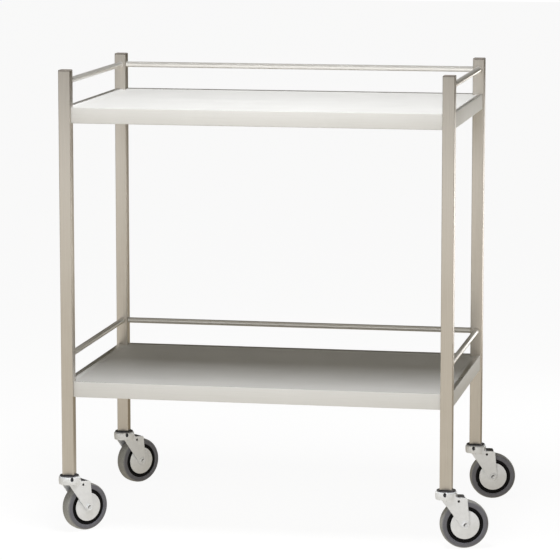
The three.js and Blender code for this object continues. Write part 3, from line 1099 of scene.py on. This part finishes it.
@dataclass
class Castor:
    """A plain swivel castor: drawn with its kingpin on the Z axis and its wheel trailing along +X."""

    trail: float = 37.5 * MM
    wheel_radius: float = 50 * MM
    crown_radius: float = 22.5 * MM
    crown_top: float = 119.4 * MM
    crown_skirt: float = 102.5 * MM
    crown_mouth: float = 15 * MM
    crown_wall: float = 2 * MM
    sheet: float = 2.4 * MM
    half_gap: float = 15.6 * MM  # from the wheel's middle to the inner face of a leg
    boss_radius: float = 9 * MM
    leg_front: Point = (-10 * MM, 101.5 * MM)
    leg_back: Point = (41 * MM, 107 * MM)
    leg_corner: float = 4.5 * MM
    roof_end: float = 38 * MM
    roof_bite: float = 0.4 * MM  # how far the roof runs into each leg
    # the painted shade inside the crown starts this far in from its outer face
    shade_depth: float = 1.4 * MM
    axle_radius: float = 4 * MM
    rivet_hollow: float = 4.7 * MM
    brake_hole: Rounded = (23 * MM, 100.2 * MM, 2.7 * MM)
    crown_hole: Rounded = (18.0, 114.4 * MM, 3.4 * MM)  # degrees towards the nose, height, radius
    hole_stretch: float = 1.35
    nose_cut: tuple[Point, Point] = ((-22.5 * MM, 105.6 * MM), (-8 * MM, 101.8 * MM))
    blend_heights: Point = (97 * MM, 112 * MM)
    press_grain: float = 0.6 * MM
    press_passes: int = 24
    press_thinning: float = 0.35
    guard_radius: float = 30.2 * MM
    tyre_inner: float = 38 * MM
    tyre_half: float = 14 * MM
    wear_from: float = 46 * MM
    wear_full: float = 49 * MM
    race_radius: float = 20 * MM
    stem_radius: float = 5 * MM
    drill_steps: int = 32
    drill_reach: Point = (30 * MM, 17 * MM)  # past the fork's side, inside the crown's wall
    axle_steps: int = 48
    round_steps: int = 64
    wheel_steps: int = 96
    masters: dict[str, Master] = field(default_factory=dict)

    def build(self, finishes: Finishes) -> None:
        """Builds one of each piece and copies them to the four corners.

        Args:
            finishes: The cart's finishes.
        """
        zinc, shaded_race = finishes.zinc.make(), finishes.shaded_race.make()
        outer, inner = self.guards()
        self.add("castor_fork", zinc, Master(self.fork(finishes.zinc), "pressed", "castor", "zinc_steel"))
        self.add("castor_stem", shaded_race, Master(self.stem(), "turned", "frame", "zinc_steel"))
        self.add("castor_axle", zinc, Master(self.axle(finishes.zinc), "turned", "castor", "zinc_steel"))
        self.add("wheel_guard_outer", zinc, Master(outer, "dished", "castor", "zinc_steel"))
        self.add("wheel_guard_inner", zinc, Master(inner, "dished", "castor", "zinc_steel"))
        self.add("wheel_core", finishes.rim.make(), Master(self.core(), "moulded", "wheel", "rim_plastic"))
        tyre = self.tyre(finishes.tyre)
        self.add("tyre", finishes.tyre.make(), Master(tyre, "moulded", "wheel", "tyre_rubber"))
        joints = {joint["name"]: joint for joint in frame["joints"]}
        for corner in Corner:
            self.copy_to(corner, joints[f"swivel_{corner.value}"], joints[f"roll_{corner.value}"])
        for master in self.masters.values():
            master.piece.discard()

    def add(self, node: str, material: bpy.types.Material, master: Master) -> None:
        """Dresses a piece and keeps it for copying.

        Args:
            node: The start of the name of the solids that it stands for.
            material: Its finish.
            master: The piece.
        """
        master.piece.smooth()
        master.piece.dress(material)
        self.masters[node] = master

    def copy_to(self, corner: Corner, swivel: dict, roll: dict) -> None:
        """Copies the castor under one post.

        Args:
            corner: Where it goes.
            swivel: The joint about its kingpin.
            roll: The joint about its axle.
        """
        x, y, _ = swivel["pos_m"]
        swing = math.atan2(-roll["axis"][0], roll["axis"][1])
        matrix = Matrix.Translation((x, y, 0)) @ Matrix.Rotation(swing, 4, "Z")
        for node, master in self.masters.items():
            copy = master.piece.copy(f"{node}_{master.making}_{corner.value}")
            copy.place(matrix)
            carrier = "frame" if master.body == "frame" else f"{master.body}_{corner.value}"
            copy.fit(carrier, master.slot, f"{node}_{corner.value}")

    def on_axle(self, piece: Workpiece) -> Workpiece:
        """Lays a piece that was turned about Z onto the axle, its top towards the front.

        Args:
            piece: The piece.

        Returns:
            The same piece.
        """
        onto_axle = Matrix.Translation((self.trail, 0, self.wheel_radius))
        piece.place(onto_axle @ Matrix.Rotation(math.pi / 2, 4, "X"))
        return piece

    def fork(self, zinc: ZincPlate) -> Workpiece:
        """The pressed fork: a round crown with a leg on each side of the wheel.

        Args:
            zinc: The finish, which reads where shade is painted.

        Returns:
            The fork.
        """
        wall, radius = self.crown_wall, self.crown_radius
        top, skirt = self.crown_top, self.crown_skirt
        profile = rounded(
            [
                (self.crown_mouth, top - wall, 0),
                (radius - wall, top - wall, 1.8 * MM),
                (radius - wall - 0.8 * MM, skirt, 0.4 * MM),
                (radius - 0.8 * MM, skirt, 0.5 * MM),
                (radius, skirt + 7 * MM, 6 * MM),
                (radius, top, 3.8 * MM),
                (self.crown_mouth, top, 0.6 * MM),
            ],
            closed=True,
        )
        fork = Workpiece.turned("fork", profile, self.round_steps)
        with fork.editing():
            bpy.ops.mesh.select_all(action="SELECT")
            nose, heel = self.nose_cut
            slope = Vector((heel[1] - nose[1], 0, nose[0] - heel[0]))
            start = (nose[0], 0, nose[1])
            bpy.ops.mesh.bisect(plane_co=start, plane_no=slope, clear_outer=True, use_fill=True)
        outline = self.leg_outline()
        for side in (-1, 1):
            leg = Workpiece.plate("leg", outline, self.sheet, side * (self.half_gap + self.sheet / 2))
            fork.combine(leg, "UNION")
        fork.join(self.roof())
        fork.apply_modifier("REMESH", mode="VOXEL", voxel_size=self.press_grain)
        with fork.editing():
            fork.pick(Element.VERTEX, self.in_press_blend)
            bpy.ops.mesh.vertices_smooth(factor=0.5, repeat=self.press_passes)
            bpy.ops.mesh.select_all(action="SELECT")
            bpy.ops.mesh.vertices_smooth(factor=0.5, repeat=2)
        fork.apply_modifier("DECIMATE", ratio=self.press_thinning)
        self.drill(fork)
        # painted shade inside the crown and on the inner faces of the legs, where the fork lies in shadow
        self.painted_shade(fork, zinc, self.in_fork_shade)
        return fork

    @staticmethod
    def painted_shade(piece: Workpiece, zinc: ZincPlate, test: Callable[[Vector], bool]) -> None:
        """Marks the points of a piece where shade is painted.

        Args:
            piece: The piece.
            zinc: Its finish, which names the mark.
            test: Says of one place whether it gets painted shade.
        """
        painted_shade = piece.obj.data.attributes.new(zinc.shade_attribute, "FLOAT", "POINT")
        for vertex, value in zip(piece.obj.data.vertices, painted_shade.data):
            value.value = float(test(vertex.co))

    def in_fork_shade(self, point: Vector) -> bool:
        """Tells where shade is painted on the fork.

        Args:
            point: A place on it.

        Returns:
            Whether that lies inside the crown or on the inner face of a leg.
        """
        from_kingpin = math.hypot(point.x, point.y)
        if from_kingpin < self.crown_radius + MM:
            inside = from_kingpin < self.crown_radius - self.shade_depth
            return inside and self.crown_skirt + MM < point.z < self.crown_top - MM
        return abs(point.y) < self.half_gap + self.press_grain

    def roof(self) -> Workpiece:
        """The fork's top plate, which runs back from the crown over the wheel.

        Returns:
            The plate.
        """
        depth = self.half_gap + self.roof_bite
        radius = self.crown_radius - MM
        reach = math.asin(depth / radius)
        outline = arc((0, 0), radius, -reach, reach, steps=16)
        outline += [(self.roof_end, depth), (self.roof_end, -depth)]
        roof = Workpiece.plate("roof", outline, self.sheet, 0)
        height = self.leg_back[1] - self.sheet / 2
        roof.place(Matrix.Translation((0, 0, height)) @ Matrix.Rotation(math.pi / 2, 4, "X"))
        return roof

    def in_press_blend(self, vertex: bmesh.types.BMVert) -> bool:
        """Tells where the press drew the crown's wall out into a leg.

        Args:
            vertex: A point of the fork.

        Returns:
            Whether it lies there.
        """
        x, y, z = vertex.co
        low, high = self.blend_heights
        return low < z < high and abs(y) > self.half_gap - self.sheet and x < self.crown_radius

    def tangent(self, point: Point, side: int) -> float:
        """Direction from the axle to where a line from the point touches the boss.

        Args:
            point: Where the line starts, as x and z.
            side: 1 or -1, for one side of the boss or the other.

        Returns:
            The angle in radians.
        """
        x, z = point[0] - self.trail, point[1] - self.wheel_radius
        return math.atan2(z, x) + side * math.acos(self.boss_radius / math.hypot(x, z))

    def leg_outline(self) -> list[Point]:
        """Draws a leg, from the crown round the boss and back.

        Returns:
            Its closed outline, as x and z.
        """
        front = self.tangent(self.leg_front, 1)
        back = self.tangent(self.leg_back, -1) + FULL_TURN
        boss = arc((self.trail, self.wheel_radius), self.boss_radius, front, back, steps=20)
        root = self.crown_top - 4 * MM
        x, z = self.leg_back
        upper = rounded(
            [
                (*boss[-1], 0),
                (x, z, self.leg_corner),
                (self.crown_radius - 4 * MM, z + 1.2 * MM, 1.6 * MM),
                (self.crown_radius - 7 * MM, root, 0),
                (self.leg_front[0] - 3 * MM, root, 0),
                (self.leg_front[0] - 3 * MM, self.leg_front[1] + 3 * MM, 0),
                (*self.leg_front, 3 * MM),
                (*boss[0], 0),
            ]
        )
        return [*boss, *upper[1:]]

    def drill(self, fork: Workpiece) -> None:
        """Drills the axle holes, the brake holes and the two holes in the crown's wall.

        Args:
            fork: The fork.
        """
        across, within = self.drill_reach
        axle_hole = (self.trail, self.wheel_radius, self.axle_radius + GAP)
        for x, z, size in (axle_hole, self.brake_hole):
            start, end = Vector((x, -across, z)), Vector((x, across, z))
            fork.combine(Workpiece.bar("drill", size, start, end, self.drill_steps), "DIFFERENCE")
        turn, height, size = self.crown_hole
        rise = Vector((0, 0, height))
        for side in (-1, 1):
            angle = math.radians(turn)
            away = Vector((-math.sin(angle), side * math.cos(angle), 0))
            bit = Workpiece.bar("drill", size, away * within + rise, away * across + rise, self.drill_steps)
            with bit.editing():
                bpy.ops.mesh.select_all(action="SELECT")
                bpy.ops.transform.resize(value=(1, 1, self.hole_stretch), center_override=(0, 0, height))
            fork.combine(bit, "DIFFERENCE")

    def stem(self) -> Workpiece:
        """The stem with its race plate, kingpin and riveted end.

        Returns:
            The stem.
        """
        low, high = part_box("castor_stem_front_left")
        plug_low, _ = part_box("castor_plug_front_left")
        plate_top = plug_low.z - GAP
        plate_bottom = self.crown_top + 0.4 * MM
        rivet_top = low.z + 3 * MM
        corners = [
            (0, low.z, 0),
            (7 * MM, low.z, 1 * MM),
            (8 * MM, rivet_top - 1 * MM, 0.6 * MM),
            (4 * MM, rivet_top, 0),
            (4 * MM, plate_bottom, 0),
            (self.race_radius - 1.2 * MM, plate_bottom, 0.4 * MM),
            (self.race_radius, plate_bottom + 0.5 * MM, 0.3 * MM),
            (self.race_radius, plate_top, 0.5 * MM),
            (self.stem_radius, plate_top, 0),
            (self.stem_radius, high.z, 0.8 * MM),
            (0, high.z, 0),
        ]
        return Workpiece.turned("stem", rounded(corners), self.round_steps)

    def axle(self, zinc: ZincPlate) -> Workpiece:
        """A tubular rivet with a dished head outside each leg.

        Args:
            zinc: The finish, which reads where shade is painted.

        Returns:
            The rivet.
        """
        seat = self.half_gap + self.sheet + GAP
        half = [
            (0, seat + 0.5 * MM, 0),
            (3.0 * MM, seat + 0.5 * MM, 0.8 * MM),
            (4.6 * MM, seat + 2.2 * MM, 0.5 * MM),
            (6.8 * MM, seat + 2.2 * MM, 1.2 * MM),
            (8 * MM, seat, 0.3 * MM),
            (self.axle_radius, seat, 0),
        ]
        axle = Workpiece.turned("axle", rounded(mirrored(half)), self.axle_steps)
        # painted shadow on the upper side of each rivet head's hollow
        self.painted_shade(axle, zinc, lambda p: math.hypot(p.x, p.y) < self.rivet_hollow and p.y - p.x > MM)
        return self.on_axle(axle)

    def guards(self) -> tuple[Workpiece, Workpiece]:
        """The dished thread-guard discs.

        Returns:
            The one on the front of the wheel and the one on its back.
        """
        face = self.half_gap - GAP
        corners = [
            (self.axle_radius + GAP, face - 1.4 * MM, 0),
            (12 * MM, face - 1.4 * MM, 2 * MM),
            (self.guard_radius - 0.8 * MM, 11.8 * MM, 0.4 * MM),
            (self.guard_radius, 12.2 * MM, 0.3 * MM),
            (self.guard_radius - 0.2 * MM, 13.1 * MM, 0.4 * MM),
            (13 * MM, face, 2 * MM),
            (self.axle_radius + GAP, face, 0),
        ]
        outer = Workpiece.turned("guard", rounded(corners, closed=True), self.wheel_steps)
        inner = outer.copy("guard_inner")
        inner.place(Matrix.Rotation(math.pi, 4, "X"))
        return self.on_axle(outer), self.on_axle(inner)

    def core(self) -> Workpiece:
        """The moulded wheel centre: a rim, a thin web and a hub.

        Returns:
            The wheel centre.
        """
        half = [
            (self.tyre_inner - GAP, 11.6 * MM, 0.6 * MM),
            (self.guard_radius + 3 * MM, 11.6 * MM, 0.8 * MM),
            (self.guard_radius + 1 * MM, 10.4 * MM, 0.6 * MM),
            (self.guard_radius - 2 * MM, 5 * MM, 1.5 * MM),
            (11 * MM, 5 * MM, 1.5 * MM),
            (11 * MM, 13.5 * MM, 0.6 * MM),
            (6.8 * MM, 13.5 * MM, 0),
        ]
        profile = rounded(mirrored(half), closed=True, steps=3)
        return self.on_axle(Workpiece.turned("core", profile, self.wheel_steps))

    def tyre(self, rubber: TyreRubber) -> Workpiece:
        """The tyre: flat sides, round shoulders and a slightly crowned tread.

        Args:
            rubber: The finish, which reads how worn each point is.

        Returns:
            The tyre.
        """
        half = [
            (self.wheel_radius - 0.05 * MM, 1.0 * MM, 0),
            (self.wheel_radius - 0.6 * MM, self.tyre_half - 5 * MM, 6 * MM),
            (self.wheel_radius - 3.5 * MM, self.tyre_half, 3.6 * MM),
            (self.tyre_inner + 1.6 * MM, self.tyre_half, 1.2 * MM),
            (self.tyre_inner, self.tyre_half - 1.2 * MM, 0),
        ]
        ridge = [(self.wheel_radius, 0.6 * MM, 0), *half]
        tyre = Workpiece.turned("tyre", rounded(mirrored(ridge), closed=True), self.wheel_steps)
        wear = tyre.obj.data.attributes.new(rubber.wear_attribute, "FLOAT", "POINT")
        for vertex, value in zip(tyre.obj.data.vertices, wear.data):
            reach = math.hypot(vertex.co.x, vertex.co.y) - self.wear_from
            value.value = min(1.0, max(0.0, reach / (self.wear_full - self.wear_from)))
        return self.on_axle(tyre)


@dataclass
class HiddenFittings:
    """Solids whose shape is right as it is: they keep their mesh and get their finish."""

    def dress(self, finishes: Finishes) -> None:
        """Gives the sockets, bearings and bushes their finishes.

        Args:
            finishes: The cart's finishes.
        """
        kinds = {
            "castor_plug": finishes.plug,
            "castor_bearing": finishes.bearing,
            "wheel_bush": finishes.bush,
        }
        for kind, finish in kinds.items():
            material = finish.make()
            for corner in Corner:
                node = frame["nodes"][f"{kind}_{corner.value}"]
                node.data.materials.clear()
                node.data.materials.append(material)
                LOG.info("%s keeps its mesh", node.name)


# ---- The studio ----


@dataclass(frozen=True)
class SoftBox:
    """A rectangular lamp, with its power in watts."""

    name: str
    place: Place
    target: Place
    size: Point
    power: float
    colour: Colour
    glints: bool = True  # whether polished surfaces mirror it

    def hang(self) -> None:
        """Hangs the lamp and points it at its target."""
        data = bpy.data.lights.new(self.name, "AREA")
        data.shape, (data.size, data.size_y) = "RECTANGLE", self.size
        data.energy, data.color = self.power, self.colour
        lamp = bpy.data.objects.new(self.name, data)
        lamp.location = self.place
        towards = Vector(self.target) - Vector(self.place)
        lamp.rotation_euler = towards.to_track_quat("-Z", "Y").to_euler()
        lamp.visible_camera = False
        lamp.visible_glossy = self.glints
        bpy.context.scene.collection.objects.link(lamp)


OVERHEAD: Place = (0.0, -0.62, 2.3)
OVER_TRAYS: Place = (0.0, -0.3, 0.6)


@dataclass
class Studio:
    """A plain pale floor, soft light and the camera."""

    camera_place: Place = (1.1717, -6.3343, 1.4541)
    camera_yaw: float = 10.752
    camera_pitch: float = 8.368
    lens: float = 196.08
    sensor: float = 36.0
    sight: float = 100.0
    floor_size: float = 40.0
    floor_drop: float = 0.5 * MM
    floor_glow: float = 0.93
    floor_shade: Colour = (0.10, 0.10, 0.10)
    backdrop_glow: float = 1.02
    # the floor's glow as the cart sees it: painted bounce light, darker under the back of the cart and
    # behind it as a painted shadow
    bounce_from: Point = (0.45, -0.1)
    painted_shadow_under: Colour = (0.22, 0.18, 0.11)
    bounce_front: Colour = (0.66, 0.62, 0.545)
    front_from: Point = (-0.05, -0.6)
    behind: tuple[tuple[float, Colour], ...] = (
        (0.0, (0.10, 0.09, 0.08)),
        (0.5, (0.058, 0.050, 0.030)),
        (0.62, (0.068, 0.060, 0.042)),
        (0.8, (0.07, 0.065, 0.055)),
        (1.0, (0.20, 0.19, 0.17)),
    )
    ahead: tuple[tuple[float, Colour], ...] = (
        (0.0, (0.50, 0.47, 0.42)),
        (0.5, (1.09, 1.07, 1.03)),
        (0.6, (0.98, 0.97, 0.94)),
        (0.70, (0.10, 0.095, 0.085)),
        (1.0, (0.20, 0.19, 0.17)),
    )
    lamps: tuple[SoftBox, ...] = (
        SoftBox("overhead", OVERHEAD, OVER_TRAYS, (0.7, 0.9), 42, (0.985, 0.99, 1.0), glints=False),
        SoftBox("overhead_glint", OVERHEAD, OVER_TRAYS, (0.7, 0.9), 6, (1.0, 0.995, 0.98)),
        SoftBox(
            "front_fill", (0.0, -1.5, 0.1), (0, 0, 0.08), (1.6, 0.2), 3.3, (0.97, 0.985, 1.0), glints=False
        ),
        SoftBox("back_right", (1.15, 1.6, 0.45), (0.35, 0.1, 0.5), (0.7, 0.8), 5, (1.0, 1.0, 1.0)),
    )

    def build(self) -> None:
        """Sets up the camera, the floor, the surroundings and the lamps."""
        self.camera()
        self.floor()
        self.surroundings()
        for lamp in self.lamps:
            lamp.hang()
        bpy.context.scene.view_settings.view_transform = "Standard"

    def camera(self) -> None:
        """Stands the camera in front of the cart, to the right and above it."""
        data = bpy.data.cameras.new("camera")
        data.lens, data.sensor_width = self.lens, self.sensor
        data.clip_end = self.sight
        camera = bpy.data.objects.new("camera", data)
        camera.location = self.camera_place
        camera.rotation_euler = (math.radians(90 - self.camera_pitch), 0, math.radians(self.camera_yaw))
        bpy.context.scene.collection.objects.link(camera)
        bpy.context.scene.camera = camera

    def floor(self) -> None:
        """A plain pale floor that stays bright to the eye; to everything else it glows with painted warm
        bounce light, darker under the back of the cart and behind it as a painted shadow.
        """
        clear_bench()
        bpy.ops.mesh.primitive_plane_add(size=self.floor_size, location=(0, 0, -self.floor_drop))
        floor = bpy.context.object
        floor.name = "floor"
        material = bpy.data.materials.new("pale_floor")
        material.use_nodes = True
        nodes, links = material.node_tree.nodes, material.node_tree.links
        nodes.remove(nodes["Principled BSDF"])
        path = nodes.new("ShaderNodeLightPath")
        glow = nodes.new("ShaderNodeEmission")
        glow.inputs["Color"].default_value = (1, 1, 1, 1)
        glow.inputs["Strength"].default_value = self.floor_glow
        matt = nodes.new("ShaderNodeBsdfDiffuse")
        matt.inputs["Color"].default_value = (*self.floor_shade, 1)
        seen = nodes.new("ShaderNodeAddShader")
        # painted bounce light for every ray but the camera's, with a painted shadow under the back of the
        # cart and behind it
        bounce = nodes.new("ShaderNodeEmission")
        place = nodes.new("ShaderNodeSeparateXYZ")
        links.new(nodes.new("ShaderNodeTexCoord").outputs["Object"], place.inputs[0])
        ahead = nodes.new("ShaderNodeMapRange")
        ahead.inputs["From Min"].default_value, ahead.inputs["From Max"].default_value = self.bounce_from
        links.new(place.outputs["Y"], ahead.inputs["Value"])
        tone = nodes.new("ShaderNodeMix")
        tone.data_type = "RGBA"
        links.new(ahead.outputs["Result"], tone.inputs["Factor"])
        shades = [socket for socket in tone.inputs if socket.type == "RGBA"]
        shades[0].default_value, shades[1].default_value = (*self.painted_shadow_under, 1), (*self.bounce_front, 1)
        links.new(next(s for s in tone.outputs if s.type == "RGBA"), bounce.inputs["Color"])
        mix = nodes.new("ShaderNodeMixShader")
        links.new(glow.outputs[0], seen.inputs[0])
        links.new(matt.outputs[0], seen.inputs[1])
        links.new(path.outputs["Is Camera Ray"], mix.inputs["Fac"])
        links.new(bounce.outputs[0], mix.inputs[1])
        links.new(seen.outputs[0], mix.inputs[2])
        links.new(mix.outputs[0], nodes["Material Output"].inputs["Surface"])
        floor.data.materials.append(material)

    def surroundings(self) -> None:
        """Dark low down behind the cart, bright low down in front of it, with a plain white backdrop."""
        world = bpy.data.worlds.new("studio")
        bpy.context.scene.world = world
        world.use_nodes = True
        nodes, links = world.node_tree.nodes, world.node_tree.links
        nodes.clear()
        direction = nodes.new("ShaderNodeTexCoord")
        split = nodes.new("ShaderNodeSeparateXYZ")
        links.new(direction.outputs["Generated"], split.inputs[0])
        lift = nodes.new("ShaderNodeMath")
        lift.operation, lift.inputs[1].default_value, lift.inputs[2].default_value = "MULTIPLY_ADD", 0.5, 0.5
        links.new(split.outputs["Z"], lift.inputs[0])
        front = nodes.new("ShaderNodeMapRange")
        front.inputs["From Min"].default_value, front.inputs["From Max"].default_value = self.front_from
        links.new(split.outputs["Y"], front.inputs["Value"])
        around = nodes.new("ShaderNodeMix")
        around.data_type = "RGBA"
        links.new(front.outputs["Result"], around.inputs["Factor"])
        colours = [socket for socket in around.inputs if socket.type == "RGBA"]
        for stops, socket in zip((self.behind, self.ahead), colours):
            ramp = nodes.new("ShaderNodeValToRGB")
            while len(ramp.color_ramp.elements) < len(stops):
                ramp.color_ramp.elements.new(0.5)
            for element, (place, colour) in zip(ramp.color_ramp.elements, stops):
                element.position, element.color = place, (*colour, 1)
            links.new(lift.outputs[0], ramp.inputs["Fac"])
            links.new(ramp.outputs["Color"], socket)
        soft = nodes.new("ShaderNodeBackground")
        links.new(next(s for s in around.outputs if s.type == "RGBA"), soft.inputs["Color"])
        white = nodes.new("ShaderNodeBackground")
        white.inputs["Color"].default_value = (1, 1, 1, 1)
        white.inputs["Strength"].default_value = self.backdrop_glow
        path = nodes.new("ShaderNodeLightPath")
        mix = nodes.new("ShaderNodeMixShader")
        out = nodes.new("ShaderNodeOutputWorld")
        links.new(path.outputs["Is Camera Ray"], mix.inputs["Fac"])
        links.new(soft.outputs[0], mix.inputs[1])
        links.new(white.outputs[0], mix.inputs[2])
        links.new(mix.outputs[0], out.inputs["Surface"])


def main() -> None:
    """Builds the studio and the cart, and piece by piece."""
    finishes = Finishes()
    Studio().build()
    Posts().build(finishes.post)
    Caps().build(finishes.cap)
    shelf_steel, fold_steel_shaded = finishes.shelf.make(), finishes.fold.make()
    rail_steel = {Side.BACK: finishes.rail_x.make(), Side.LEFT: finishes.rail_y.make()}
    rail_steel[Side.RIGHT] = rail_steel[Side.LEFT]
    for level in Level:
        Shelf(level).build(shelf_steel, fold_steel_shaded)
        Stiffener(level).build(shelf_steel)
        for side in Side:
            GuardRail(level, side).build(rail_steel[side])
    Castor().build(finishes)
    HiddenFittings().dress(finishes)


if __name__ == "__main__":
    main()
